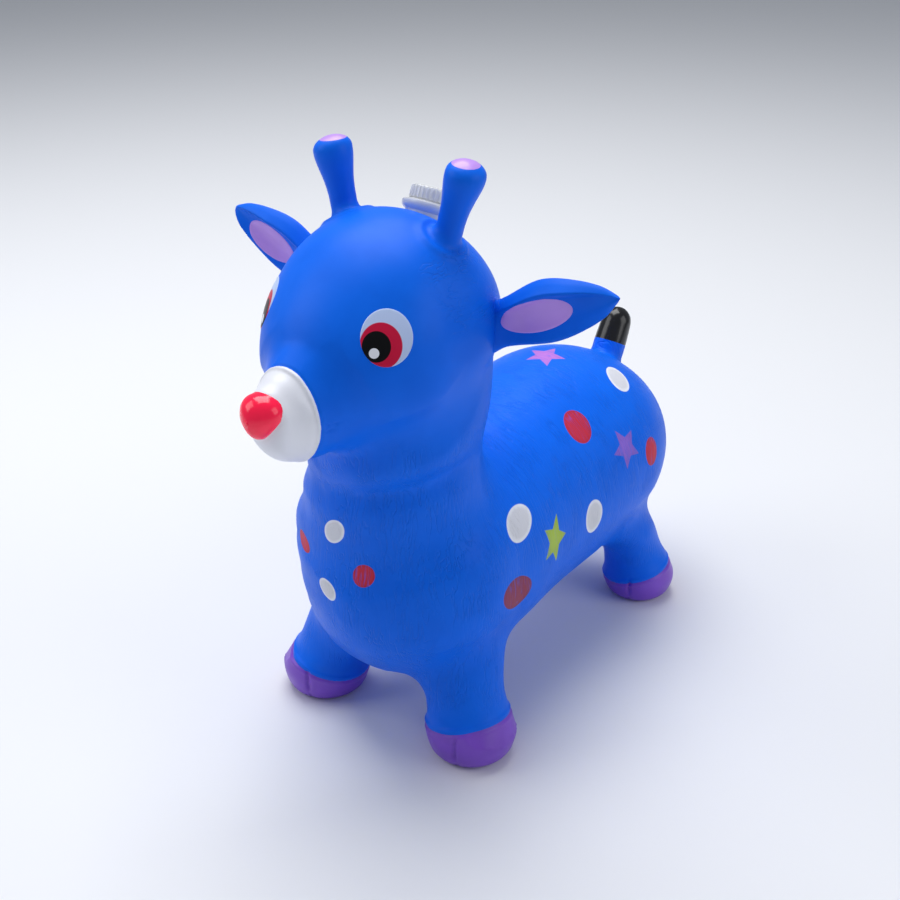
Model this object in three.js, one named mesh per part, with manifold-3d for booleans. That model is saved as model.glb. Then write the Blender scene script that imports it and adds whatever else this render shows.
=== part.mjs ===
import * as THREE from 'three';
import { LoftGeometry } from 'three/addons/geometries/LoftGeometry.js';
import { mergeVertices } from 'three/addons/utils/BufferGeometryUtils.js';
import Module from 'manifold-3d';

// A bouncy animal hopper: an inflated fawn with a screw-capped sound and light module in its crown.
// Millimetres, +Z up. The fawn faces -Y, its left side is +X and its hooves stand on Z = 0.
// The skin is one moulding; its zones part along the paint borders and where limbs meet the body.

// Skin
const skinWall = 2;
const zoneGap = 0.3;

// Stance: the hooves' spacing across and along, and the legs above them
const hoofTrack = 166;
const hoofBase = 311;
const frontHoofDiameter = 82;
const frontHoofHeight = 32;
const frontAnkleDiameter = 71;
const frontAnkleHeight = 46;
const frontLegSplay = 30;
const frontLegInset = 32;
const rearHoofDiameter = 74;
const rearHoofHeight = 28;
const rearAnkleDiameter = 63;
const rearAnkleHeight = 56;
const rearLegSplay = 44;
const rearLegInset = 36;
const thighDiameter = 100;
const thighHeight = 118;
const hoofEdge = 11;
const ankleStep = 5;
const hoofTiltOut = 0.27;
const hoofTiltAlong = 0.12;

// Torso, from the chest back to the rump
const chestReach = 72;
const chestWidth = 222;
const chestTop = 252;
const chestClearance = 52;
const chestRound = 92;
const waistWidth = 206;
const seatHeight = 258;
const bellyClearance = 54;
const rumpWidth = 218;
const rumpHeight = 266;
const rumpClearance = 58;
const rumpReach = 82;
const rumpRound = 128;

// Neck
const neckWidth = 146;
const neckDepth = 156;
const neckFoot = 166;
const neckWaist = 262;
const neckFlare = 28;
const neckOverlap = 73;

// Head
const headWidth = 180;
const headTop = 479;
const chinHeight = 306;
const headBack = 92;
const faceReach = 113;
const headBackRound = 92;
const faceRound = 85;

// Muzzle and nose
const muzzleWidth = 58;
const muzzleDepth = 77;
const muzzleHeight = 358;
const muzzleReach = 121;
const muzzleTaper = 34;
const muzzleTipWidth = 36;
const muzzleTilt = 0.03;
const noseReach = 166;
const noseWidth = 34;
const noseDepth = 35;
const noseHeight = 365;

// Eyes
const eyeWidth = 42;
const eyeLength = 44;
const eyeHeight = 414;
const eyeSpread = 114;
const eyeSetForward = 75;

// Horns
const hornSpread = 97.6;
const hornSetback = 11.5;
const hornSink = 14;
const hornLength = 62;
const hornLean = 17;
const hornRake = 0.26;
const hornBaseDiameter = 26;
const hornStemDiameter = 24;
const hornKnobDiameter = 31.5;
const hornTipLength = 3;

// Ears
const earLength = 112;
const earRise = 23;
const earHeight = 396;
const earSetback = 31;
const earUpperWidth = 27;
const earLowerWidth = 21;
const earThickness = 13;
const earCup = 5;
const liningLength = 66;
const liningWidth = 26;
const liningThickness = 1.2;
const liningStart = 7;

// Tail
const tailDiameter = 34;
const tailLength = 57;
const tailLean = 30;
const tailSetback = 53.7;
const tailStump = 19;
const tailOverhang = 7.7;

// Air valve under the belly
const valveBoreDiameter = 9;
const valveBossDiameter = 26;
const valveBossHeight = 7;
const plugHeadDiameter = 18;
const plugHeadThickness = 3;
const plugLength = 15;

// Sound and light module: housing, cap and seal
const moduleLean = 28;
const moduleSetback = 51;
const housingBore = 26.4;
const housingWall = 1.8;
const housingDepth = 26;
const pocketWall = 2.5;
const collarDiameter = 36;
const collarHeight = 10;
const flangeDiameter = 44;
const flangeThickness = 2.5;
const spoutWall = 1.4;
const spoutHeight = 9.5;
const threadPitch = 3;
const threadDepth = 0.8;
const threadTurns = 1.5;
const threadClearance = 0.4;
const sealThickness = 1.2;
const capWall = 1.4;
const capTopThickness = 1.8;
const capHeight = 11;
const capRibCount = 30;
const capRibDepth = 0.6;

// Sound and light module: what it holds
const boardThickness = 1.2;
const bossDiameter = 5.6;
const bossLength = 11;
const screwDiameter = 1.6;
const screwLength = 6;
const screwHeadDiameter = 3.6;
const screwHeadHeight = 1.3;
const ledDiameter = 3;
const ledHeight = 5;
const ledCircle = 15;
const chipDiameter = 6.4;
const chipHeight = 1.6;
const cellDiameter = 11.6;
const cellThickness = 5.3;
const cellCount = 3;
const contactThickness = 0.4;
const contactWidth = 8;
const holderWall = 0.9;
const holderFloor = 1.6;
const switchDiameter = 4.4;
const switchLength = 7;
const sounderThickness = 0.5;
const leadDiameter = 1;
const leadOffset = 8.4;
const fit = 0.3;

const frontY = (noseReach - hoofBase - rumpReach - tailOverhang) / 2;
const rearY = frontY + hoofBase;

const wasm = await Module();
wasm.setup();

// A closed geometry as a solid that can be joined and cut
function solidOf(geometry) {
  const bare = new THREE.BufferGeometry().copy(geometry);
  bare.deleteAttribute('normal');
  bare.deleteAttribute('uv');
  const merged = mergeVertices(bare, 1e-4);
  const corners = merged.index.array;
  const kept = [];
  for (let i = 0; i < corners.length; i += 3) {
    const [a, b, c] = [corners[i], corners[i + 1], corners[i + 2]];
    if (a !== b && b !== c && c !== a) kept.push(a, b, c);
  }
  return new wasm.Manifold(new wasm.Mesh({
    numProp: 3,
    vertProperties: Float32Array.from(merged.attributes.position.array),
    triVerts: Uint32Array.from(kept),
  }));
}

function geometryOf(solid) {
  const mesh = solid.getMesh();
  const geometry = new THREE.BufferGeometry();
  geometry.setAttribute('position', new THREE.Float32BufferAttribute(mesh.vertProperties, 3));
  geometry.setIndex(Array.from(mesh.triVerts));
  geometry.computeVertexNormals();
  return geometry;
}

const joined = (solids) => solids.reduce((whole, next) => whole.add(next));

// The ring of a form at one place along it. A station is a place with its ring's top, bottom and width;
// grow swells the whole form by that much, and a negative grow gives its hollow.
const blunt = 0.008;
function ringAt({ stations, roundStart, roundEnd }, s, grow = 0) {
  const first = stations[0].s;
  const last = stations[stations.length - 1].s;
  const place = first + (s - first + grow) * (last - first) / (last - first + 2 * grow);
  const lane = (key) => new THREE.SplineCurve(stations.map((p) => new THREE.Vector2(p.s, p[key])));
  const tops = lane('top');
  let below = 0;
  let above = 1;
  for (let i = 0; i < 30; i++) {
    const guess = (below + above) / 2;
    if (tops.getPoint(guess).x < place) below = guess;
    else above = guess;
  }
  const roundness = (depth, round) => {
    const share = Math.max(depth / (round + grow), blunt);
    return round === 0 || share >= 1 ? 1 : Math.sqrt(1 - (1 - share) ** 2);
  };
  const ease = roundness(s - first + grow, roundStart) * roundness(last + grow - s, roundEnd);
  const top = tops.getPoint(below).y;
  const bottom = lane('bottom').getPoint(below).y;
  return {
    ease,
    middle: (top + bottom) / 2,
    high: ((top - bottom) / 2 + grow) * ease,
    wide: (lane('width').getPoint(below).y / 2 + grow) * ease,
    shift: lane('shift').getPoint(below).y,
  };
}

// Oval rings strung along a line and closed at both ends, closer together towards the ends
function swelling(form, grow = 0) {
  const { origin, along, up, stations, rings, sides, cup = 0 } = form;
  const side = new THREE.Vector3().crossVectors(up, along);
  const first = stations[0].s - grow;
  const last = stations[stations.length - 1].s + grow;
  const sections = [];
  for (let i = 0; i < rings; i++) {
    const s = first + (last - first) * (1 - Math.cos(Math.PI * i / (rings - 1))) / 2;
    const { ease, middle, high, wide, shift } = ringAt(form, s, grow);
    const ring = [];
    for (let k = 0; k < sides; k++) {
      const a = 2 * Math.PI * k / sides;
      ring.push(new THREE.Vector3().copy(origin)
        .addScaledVector(along, s)
        .addScaledVector(up, middle + high * Math.sin(a))
        .addScaledVector(side, shift + wide * Math.cos(a) + cup * ease * Math.sin(a) ** 2));
    }
    sections.push(ring);
  }
  return solidOf(new LoftGeometry(sections, { capStart: true, capEnd: true }));
}

// Everything on the far side of a plane from where its normal points
const span = 2 * (headTop + hoofBase);
function behind(point, normal) {
  const block = new THREE.BoxGeometry(span, span, span).translate(0, 0, -span / 2);
  const turn = new THREE.Quaternion().setFromUnitVectors(upward, normal.clone().normalize());
  return solidOf(block.applyQuaternion(turn).translate(point.x, point.y, point.z));
}

// A solid parted by a plane, with the zone gap between the two pieces
function parted(solid, point, normal) {
  const step = normal.clone().normalize().multiplyScalar(zoneGap / 2);
  const near = behind(point.clone().sub(step), normal);
  const far = behind(point.clone().add(step), normal);
  return [solid.intersect(near), solid.subtract(far)];
}

const zero = new THREE.Vector3(0, 0, 0);
const upward = new THREE.Vector3(0, 0, 1);
const backward = new THREE.Vector3(0, 1, 0);
const forward = new THREE.Vector3(0, -1, 0);

const station = (s, top, bottom, width, shift = 0) => ({ s, top, bottom, width, shift });
const roundStation = (s, diameter) => station(s, diameter / 2, -diameter / 2, diameter);

const torsoForm = {
  origin: zero,
  along: backward,
  up: upward,
  stations: [
    station(frontY - chestReach, chestTop - 2, chestClearance + 2, chestWidth),
    station(frontY + 20, chestTop, chestClearance, chestWidth),
    station((frontY + rearY) / 2 - 20, seatHeight, bellyClearance, waistWidth),
    station(rearY - 60, rumpHeight, rumpClearance, rumpWidth),
    station(rearY + rumpReach, rumpHeight - 10, rumpClearance + 20, rumpWidth),
  ],
  roundStart: chestRound,
  roundEnd: rumpRound,
  rings: 14,
  sides: 20,
};

// Legs run upward; their rings' top and bottom are the rear and front of the leg
function legForm({ sign, y, hoof, height, ankle, ankleHeight, splay, inset }) {
  const x = sign * hoofTrack / 2;
  const ring = (z, diameter, share, drift = share) => station(
    z,
    y + splay * share + diameter / 2,
    y + splay * share - diameter / 2,
    diameter,
    x - sign * inset * drift);
  return {
    origin: zero,
    along: upward,
    up: backward,
    stations: [
      ring(0, hoof - 2 * hoofEdge, 0),
      ring(hoofEdge * 0.6, hoof - hoofEdge * 0.7, 0),
      ring(height * 0.75, hoof, 0),
      ring(height * 1.2, hoof - ankleStep, 0.03),
      ring(ankleHeight, ankle, 0.08, 0.26),
      ring((ankleHeight + thighHeight) / 2, ankle + (thighDiameter - ankle) * 0.4, 0.5),
      ring(thighHeight, thighDiameter, 1),
    ],
    roundStart: 0,
    roundEnd: 30,
    rings: 9,
    sides: 12,
  };
}

const frontLeg = {
  y: frontY,
  hoof: frontHoofDiameter,
  height: frontHoofHeight,
  ankle: frontAnkleDiameter,
  ankleHeight: frontAnkleHeight,
  splay: frontLegSplay,
  inset: frontLegInset,
};
const rearLeg = {
  y: rearY,
  hoof: rearHoofDiameter,
  height: rearHoofHeight,
  ankle: rearAnkleDiameter,
  ankleHeight: rearAnkleHeight,
  splay: -rearLegSplay,
  inset: rearLegInset,
};
const legs = {
  front_left: { ...frontLeg, sign: 1 },
  front_right: { ...frontLeg, sign: -1 },
  rear_left: { ...rearLeg, sign: 1 },
  rear_right: { ...rearLeg, sign: -1 },
};

const neckTop = headTop - neckOverlap;
const neckRing = (z, back, front, width) => station(
  z, frontY + back + neckDepth / 2, frontY + front - neckDepth / 2, width);
const neckForm = {
  origin: zero,
  along: upward,
  up: backward,
  stations: [
    neckRing(neckFoot, 42, 16, neckWidth + neckFlare),
    neckRing(neckWaist, 2, 10, neckWidth),
    neckRing((neckWaist + neckTop) / 2, 4, 0, neckWidth + neckFlare * 0.7),
    neckRing(neckTop, 4, 16, neckWidth + neckFlare * 0.55),
  ],
  roundStart: 20,
  roundEnd: 40,
  rings: 7,
  sides: 16,
};

const headForm = {
  origin: zero,
  along: forward,
  up: upward,
  stations: [
    station(-(frontY + headBack), headTop - 15, chinHeight + 18, headWidth - 4),
    station(-(frontY + 10), headTop, chinHeight, headWidth),
    station(-(frontY - 40), headTop - 8, chinHeight - 2, headWidth),
    station(-(frontY - faceReach), headTop - 36, chinHeight + 8, headWidth - 10),
  ],
  roundStart: headBackRound,
  roundEnd: faceRound,
  rings: 12,
  sides: 18,
};

// The muzzle flares out of the face, narrows past its paint border and turns up towards the nose
const noseLift = noseHeight - muzzleHeight;
const muzzleRing = (past, width, depth, rise) => station(
  muzzleReach + past - frontY, muzzleHeight + rise + depth / 2, muzzleHeight + rise - depth / 2, width);
const muzzleForm = {
  origin: zero,
  along: forward,
  up: upward,
  stations: [
    muzzleRing(-68, muzzleWidth + 62, muzzleDepth + 49, 11),
    muzzleRing(-30, muzzleWidth + 30, muzzleDepth + 32, 8),
    muzzleRing(-10, muzzleWidth + 11, muzzleDepth + 16, 3),
    muzzleRing(5, muzzleWidth, muzzleDepth, -1),
    muzzleRing(muzzleTaper * 0.35, muzzleWidth - 8, muzzleDepth - 9, -3),
    muzzleRing(muzzleTaper * 0.6, muzzleTipWidth + 7, muzzleDepth - 19, -2),
    muzzleRing(muzzleTaper, muzzleTipWidth, muzzleTipWidth + 3, noseLift * 0.65),
  ],
  roundStart: 4,
  roundEnd: 10,
  rings: 10,
  sides: 14,
};

const noseRing = (back, width, rise, drop) => station(
  noseReach - back - frontY, noseHeight + noseDepth / 2 - rise, noseHeight - noseDepth / 2 + drop, width);
const noseForm = {
  origin: zero,
  along: forward,
  up: upward,
  stations: [
    noseRing(34, noseWidth - 2, 0, 0),
    noseRing(14, noseWidth, 0, 0),
    noseRing(0, noseWidth - 6, 2, 4),
  ],
  roundStart: 6,
  roundEnd: 16,
  rings: 6,
  sides: 10,
};

// An axis that leans out from upright by an angle in degrees, towards the given side
function leaning(degrees, towards) {
  const angle = THREE.MathUtils.degToRad(degrees);
  return new THREE.Vector3().addScaledVector(upward, Math.cos(angle))
    .addScaledVector(towards, Math.sin(angle));
}

function hornForm(sign) {
  const outward = new THREE.Vector3(sign, hornRake, 0).normalize();
  return {
    origin: new THREE.Vector3(sign * hornSpread / 2, frontY + hornSetback, headTop - hornSink),
    along: leaning(hornLean, outward),
    up: backward,
    stations: [
      roundStation(-26, hornBaseDiameter + 10),
      roundStation(-6, hornBaseDiameter),
      roundStation(hornLength * 0.17, (hornBaseDiameter + hornStemDiameter) / 2 - 3),
      roundStation(hornLength * 0.43, hornStemDiameter),
      roundStation(hornLength * 0.75, hornKnobDiameter),
      roundStation(hornLength, hornKnobDiameter),
    ],
    roundStart: 6,
    roundEnd: 10,
    rings: 10,
    sides: 10,
  };
}

function earForm(sign) {
  const outward = new THREE.Vector3(sign, 0, 0);
  return {
    origin: new THREE.Vector3(sign * (headWidth / 2 - 5), frontY + earSetback, earHeight),
    along: leaning(90 - earRise, outward),
    up: leaning(-earRise, outward),
    stations: [
      station(-14, earUpperWidth - 11, 5 - earLowerWidth, earThickness + 8),
      station(10, earUpperWidth - 7, 3 - earLowerWidth, earThickness + 4),
      station(earLength * 0.45, earUpperWidth, -earLowerWidth, earThickness),
      station(earLength * 0.76, earUpperWidth * 0.7, -earLowerWidth * 0.7, earThickness * 0.7),
      station(earLength, earUpperWidth * 0.2, -earLowerWidth * 0.2, earThickness * 0.45),
    ],
    roundStart: 6,
    roundEnd: 14,
    rings: 9,
    sides: 12,
    cup: -sign * earCup,
  };
}

const rumpTop = ringAt(torsoForm, rearY + tailSetback);
const tailForm = {
  origin: new THREE.Vector3(0, rearY + tailSetback, rumpTop.middle + rumpTop.high),
  along: leaning(tailLean, backward),
  up: leaning(tailLean + 90, backward),
  stations: [
    roundStation(-24, tailDiameter + 4),
    roundStation(0, tailDiameter),
    roundStation(tailStump + 6, tailDiameter - 1),
    roundStation(tailLength, tailDiameter - 5),
  ],
  roundStart: 5,
  roundEnd: 15,
  rings: 7,
  sides: 10,
};

// A round solid turned from a closed profile of [radius, height] corners
function turned(profile, sides = 20) {
  const points = profile.map(([r, z]) => new THREE.Vector2(r, z));
  return new THREE.LatheGeometry(points, sides).rotateX(Math.PI / 2);
}
const rod = (radius, low, high, sides) => turned([[0, low], [radius, low], [radius, high], [0, high]], sides);
const block = (x, y, low, high) => new THREE.BoxGeometry(x, y, high - low).translate(0, 0, (low + high) / 2);

const crown = ringAt(headForm, -(frontY + moduleSetback));
const moduleAxis = leaning(moduleLean, backward);
const moduleGroup = new THREE.Group();
moduleGroup.position.set(0, frontY + moduleSetback, crown.middle + crown.high)
  .addScaledVector(moduleAxis, -1.2);
moduleGroup.rotation.x = -THREE.MathUtils.degToRad(moduleLean);
moduleGroup.updateMatrix();
const inCrown = (geometry) => solidOf(geometry.applyMatrix4(moduleGroup.matrix));

const boreRadius = housingBore / 2;
const housingRadius = boreRadius + housingWall;
const pocketRadius = housingRadius + fit;
const pocketSolid = inCrown(rod(pocketRadius + pocketWall, -housingDepth - fit - pocketWall, 0));
const pocketBore = inCrown(rod(pocketRadius, -housingDepth - fit, 20));
const collarSeat = inCrown(rod(collarDiameter / 2 + fit, -fit, 20));

// The air space inside the skin runs through every limb
const skinForms = [
  torsoForm, neckForm, headForm, muzzleForm, noseForm, tailForm, hornForm(1), hornForm(-1),
  ...Object.values(legs).map(legForm),
];
const airSpace = joined(skinForms.map((form) => swelling(form, -skinWall))).subtract(pocketSolid);
const torsoRoom = swelling(torsoForm, zoneGap);
const headRoom = joined([swelling(headForm, zoneGap), swelling(muzzleForm, zoneGap)]);
const cutBy = (solid, cuts) => cuts.reduce((left, cut) => left.subtract(cut), solid);
const shell = (form, rooms) => cutBy(swelling(form), [...rooms, airSpace]);

const valveY = (frontY + rearY) / 2;
const belly = ringAt(torsoForm, valveY);
const valveFace = belly.middle - belly.high - 1;
const atValve = (geometry) => solidOf(geometry.translate(0, valveY, valveFace));

const colours = {
  skin: 0x0a6ef0,
  hoof: 0x6e41b4,
  lilac: 0xb48ce1,
  white: 0xf2f2f4,
  nose: 0xd8203a,
  tailTip: 0x0c0c10,
  plug: 0x1a50b8,
};
const hopper = new THREE.Group();
function addPiece(parent, name, solid, finish) {
  const mesh = new THREE.Mesh(geometryOf(solid), new THREE.MeshStandardMaterial(finish));
  mesh.name = name;
  parent.add(mesh);
}
const addSkin = (name, solid, color) => addPiece(
  hopper, name, solid, { color, roughness: 0.4, metalness: 0 });

// Torso with the valve boss and its bore
const valveBoss = atValve(rod(valveBossDiameter / 2, 0, valveBossHeight));
const valveBore = atValve(rod(valveBoreDiameter / 2 + fit, -5, valveBossHeight + 5, 16));
addSkin('torso', swelling(torsoForm).subtract(airSpace).add(valveBoss).subtract(valveBore), colours.skin);
addSkin('neck', shell(neckForm, [torsoRoom, headRoom]), colours.skin);

// Legs, each parted from its hoof by a border that rises outward and away from the belly
for (const [name, leg] of Object.entries(legs)) {
  const border = new THREE.Vector3(leg.sign * hoofTrack / 2, leg.y, leg.height);
  const slope = new THREE.Vector3(-leg.sign * hoofTiltOut, Math.sign(leg.splay) * hoofTiltAlong, 1);
  const [hoof, limb] = parted(shell(legForm(leg), [torsoRoom]), border, slope);
  addSkin(`leg_${name}`, limb, colours.skin);
  addSkin(`hoof_${name}`, hoof, colours.hoof);
}

// Head with its module pocket, parted from the muzzle and the eyes
const face = joined([swelling(headForm), swelling(muzzleForm)])
  .subtract(airSpace).subtract(pocketBore).subtract(collarSeat);
const muzzleBorder = new THREE.Vector3(0, frontY - muzzleReach, muzzleHeight);
const [skull, muzzle] = parted(face, muzzleBorder, new THREE.Vector3(0, -1, -muzzleTilt));
function eyePrism(sign, grow) {
  const oval = new THREE.CylinderGeometry(1, 1, 60, 18).rotateX(Math.PI / 2)
    .scale(eyeWidth / 2 + grow, eyeLength / 2 + grow, 1);
  const facing = new THREE.Vector3(sign * 0.8, -1, 0.35).normalize();
  const turn = new THREE.Matrix4().lookAt(facing, zero, upward);
  return solidOf(oval.applyMatrix4(turn)
    .translate(sign * eyeSpread / 2, frontY - eyeSetForward, eyeHeight));
}
let head = skull;
for (const [side, sign] of [['left', 1], ['right', -1]]) {
  addSkin(`eye_${side}`, skull.intersect(eyePrism(sign, 0)), colours.white);
  head = head.subtract(eyePrism(sign, zoneGap));
}
addSkin('head', head, colours.skin);
addSkin('muzzle', muzzle, colours.white);
addSkin('nose', shell(noseForm, [headRoom]), colours.nose);

// Horns and ears
for (const [side, sign] of [['left', 1], ['right', -1]]) {
  const horn = hornForm(sign);
  const tipBorder = horn.origin.clone().addScaledVector(horn.along, hornLength - hornTipLength);
  const [stem, tip] = parted(shell(horn, [headRoom]), tipBorder, horn.along);
  addSkin(`horn_${side}`, stem, colours.skin);
  addSkin(`horn_tip_${side}`, tip, colours.lilac);

  const ear = earForm(sign);
  const leaf = swelling(ear);
  const liningPrism = (grow) => {
    const oval = new THREE.CylinderGeometry(1, 1, 40, 18)
      .scale(liningLength / 2 + grow, 1, liningWidth / 2 + grow)
      .translate(0, -20, 0)
      .rotateY(-sign * THREE.MathUtils.degToRad(earRise));
    const middle = ear.origin.clone().addScaledVector(ear.along, liningStart + liningLength / 2);
    return solidOf(oval.translate(middle.x, middle.y, middle.z));
  };
  const leafBack = (depth) => solidOf(geometryOf(leaf).translate(0, depth, 0));
  const lining = leaf.intersect(liningPrism(0)).subtract(leafBack(liningThickness)).subtract(headRoom);
  const socket = liningPrism(zoneGap).subtract(leafBack(liningThickness + zoneGap));
  addSkin(`ear_${side}`, leaf.subtract(headRoom).subtract(socket), colours.skin);
  addSkin(`ear_lining_${side}`, lining, colours.lilac);
}

// Tail
const tailBorder = tailForm.origin.clone().addScaledVector(tailForm.along, tailStump);
const [tail, tailTip] = parted(shell(tailForm, [torsoRoom]), tailBorder, tailForm.along);
addSkin('tail', tail, colours.skin);
addSkin('tail_tip', tailTip, colours.tailTip);

// Air plug: its head bears on the boss and its stem fills the bore
const plug = atValve(turned([
  [0, -fit - plugHeadThickness], [plugHeadDiameter / 2 - 1, -fit - plugHeadThickness],
  [plugHeadDiameter / 2, -fit - 1.5], [plugHeadDiameter / 2, -fit], [valveBoreDiameter / 2, -fit],
  [valveBoreDiameter / 2 - 0.4, plugLength - 2], [valveBoreDiameter / 2 - 2, plugLength], [0, plugLength],
], 16));
addSkin('air_plug', plug, colours.plug);

const addInside = (name, geometry, finish) => addPiece(moduleGroup, name, solidOf(geometry), finish);
const clear = { color: 0xe8eef2, roughness: 0.12, metalness: 0, transparent: true, opacity: 0.35 };
const metal = { color: 0xc8c8c4, roughness: 0.3, metalness: 1 };

// Module housing: a clear cup with a collar on the skin, a flange and a threaded spout
const flangeTop = collarHeight + flangeThickness;
const boardSeat = flangeTop - 1.8;
const spoutTop = flangeTop + spoutHeight;
const spoutRadius = boreRadius + spoutWall;
const housingFloor = -housingDepth + housingWall;
const bossOffset = boreRadius - bossDiameter / 2 + 0.8;
const threadStart = flangeTop + 2.1;

class Helix extends THREE.Curve {
  constructor(radius, low) {
    super();
    this.radius = radius;
    this.low = low;
  }

  getPoint(t, target = new THREE.Vector3()) {
    const angle = 2 * Math.PI * threadTurns * t;
    const rise = this.low + threadPitch * threadTurns * t;
    return target.set(this.radius * Math.cos(angle), this.radius * Math.sin(angle), rise);
  }
}
function threadBead(radius, low) {
  const section = new THREE.Shape();
  section.absarc(0, 0, threadDepth, 0, 2 * Math.PI);
  const steps = Math.round(16 * threadTurns);
  return new THREE.ExtrudeGeometry(section, { steps, curveSegments: 3, extrudePath: new Helix(radius, low) });
}

const housingCup = turned([
  [0, -housingDepth], [housingRadius, -housingDepth], [housingRadius, 0], [collarDiameter / 2, 0],
  [collarDiameter / 2, collarHeight], [flangeDiameter / 2, collarHeight], [flangeDiameter / 2, flangeTop],
  [spoutRadius, flangeTop], [spoutRadius, spoutTop], [boreRadius, spoutTop], [boreRadius, housingFloor],
  [0, housingFloor],
], 24);
const bosses = [1, -1].map((sign) => rod(bossDiameter / 2, boardSeat - bossLength, boardSeat, 12)
  .translate(0, sign * bossOffset, 0));
const pilotRadius = screwDiameter / 2 + fit;
const pilots = [1, -1].map((sign) => rod(pilotRadius, boardSeat - screwLength - 1, boardSeat + 1, 10)
  .translate(0, sign * bossOffset, 0));
const spoutThread = threadBead(spoutRadius, threadStart);
const housing = joined([housingCup, ...bosses, spoutThread].map(solidOf));
addPiece(moduleGroup, 'module_housing', cutBy(housing, pilots.map(solidOf)), clear);

// Cap seal, and the ribbed screw cap with its own thread half a pitch above the spout's
const capBore = spoutRadius + threadDepth + threadClearance;
const capRadius = capBore + capWall;
const sealBottom = flangeTop + fit;
const capBottom = sealBottom + sealThickness + fit;
const capTop = capBottom + capHeight;
const sealBore = spoutRadius + threadDepth + fit;
addInside('cap_seal', turned([
  [sealBore, sealBottom], [capRadius, sealBottom], [capRadius, sealBottom + sealThickness],
  [sealBore, sealBottom + sealThickness], [sealBore, sealBottom],
], 24), { color: 0xd8d8d8, roughness: 0.6, metalness: 0 });

const ribbed = new THREE.Shape();
for (let i = 0; i < 2 * capRibCount; i++) {
  const angle = Math.PI * i / capRibCount;
  const radius = capRadius - (i % 2) * capRibDepth;
  const [x, y] = [radius * Math.cos(angle), radius * Math.sin(angle)];
  if (i === 0) ribbed.moveTo(x, y);
  else ribbed.lineTo(x, y);
}
const capOuter = new THREE.ExtrudeGeometry(ribbed, { depth: capHeight, bevelEnabled: false })
  .translate(0, 0, capBottom);
const capInner = solidOf(rod(capBore, capBottom - 1, capTop - capTopThickness, 24));
const capBead = solidOf(threadBead(capBore, threadStart + threadPitch / 2))
  .intersect(solidOf(rod(capBore + capWall / 2, capBottom, capTop)));
addPiece(moduleGroup, 'module_cap', solidOf(capOuter).subtract(capInner).add(capBead), clear);

// Circuit board on its bosses, with lamps, sound chip and screws
const boardBottom = boardSeat + fit;
const boardTop = boardBottom + boardThickness;
const boardDisc = solidOf(rod(boreRadius - fit, boardBottom, boardTop, 20));
const boardHoles = pilots.map((pilot) => solidOf(pilot.translate(0, 0, boardThickness + 1)));
addPiece(moduleGroup, 'circuit_board', cutBy(boardDisc, boardHoles),
  { color: 0x1f6b3a, roughness: 0.5, metalness: 0 });
const partFoot = boardTop + fit;
const lampColours = { red: 0xff5a4a, green: 0x6be08a, blue: 0x5a8cff };
Object.entries(lampColours).forEach(([name, color], i) => {
  const angle = 2 * Math.PI * i / 3;
  const radius = ledDiameter / 2;
  const lamp = turned([
    [0, 0], [radius + 0.3, 0], [radius + 0.3, 1], [radius, 1], [radius, ledHeight - radius],
    [radius * 0.7, ledHeight - radius * 0.3], [0, ledHeight],
  ], 8).translate(ledCircle / 2 * Math.cos(angle), ledCircle / 2 * Math.sin(angle), partFoot);
  addInside(`lamp_${name}`, lamp, { color, roughness: 0.2, metalness: 0 });
});
const chip = turned([
  [0, 0], [chipDiameter / 2, 0], [chipDiameter / 2 * 0.8, chipHeight * 0.7], [0, chipHeight],
], 14).translate(0, 0, partFoot);
addInside('sound_chip', chip, { color: 0x101014, roughness: 0.35, metalness: 0 });
[1, -1].forEach((sign, i) => {
  const screw = turned([
    [0, boardSeat - screwLength], [screwDiameter / 2, boardSeat - screwLength], [screwDiameter / 2, partFoot],
    [screwHeadDiameter / 2, partFoot], [screwHeadDiameter / 2, partFoot + screwHeadHeight],
    [0, partFoot + screwHeadHeight],
  ], 10).translate(0, sign * bossOffset, 0);
  addInside(`board_screw_${i + 1}`, screw, metal);
});

// Battery holder under the board: button cells in a row between two contact strips
const cellPitch = cellThickness + fit;
const rowHalf = cellPitch * cellCount / 2 - fit / 2;
const wellLength = 2 * (rowHalf + fit + contactThickness + fit);
const wellWidth = cellDiameter + 2 * fit;
const sounderBottom = housingFloor + fit;
const holderBottom = sounderBottom + sounderThickness + fit;
const wellBottom = boardSeat - switchLength - fit - cellDiameter - fit;
const holderLength = wellLength + 2 * holderWall;
const holderWidth = wellWidth + 2 * holderWall;
const holder = solidOf(block(holderLength, holderWidth, holderBottom, boardSeat))
  .subtract(solidOf(block(wellLength, wellWidth, wellBottom, boardSeat + 1)))
  .subtract(solidOf(block(wellLength, wellWidth, holderBottom - 1, wellBottom - holderFloor)));
addPiece(moduleGroup, 'battery_holder', holder, { color: 0x2a2a2e, roughness: 0.5, metalness: 0 });
for (let i = 0; i < cellCount; i++) {
  const cell = rod(cellDiameter / 2, -cellThickness / 2, cellThickness / 2, 14).rotateY(Math.PI / 2)
    .translate((i - (cellCount - 1) / 2) * cellPitch, 0, wellBottom + fit + cellDiameter / 2);
  addInside(`button_cell_${i + 1}`, cell, metal);
}
for (const [name, sign] of [['contact_positive', 1], ['contact_negative', -1]]) {
  const strip = block(contactThickness, contactWidth, wellBottom + fit, boardSeat)
    .translate(sign * (rowHalf + fit + contactThickness / 2), 0, 0);
  addInside(name, strip, metal);
}
addInside('shake_switch', rod(switchDiameter / 2, boardSeat - switchLength, boardSeat, 14), metal);

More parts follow.
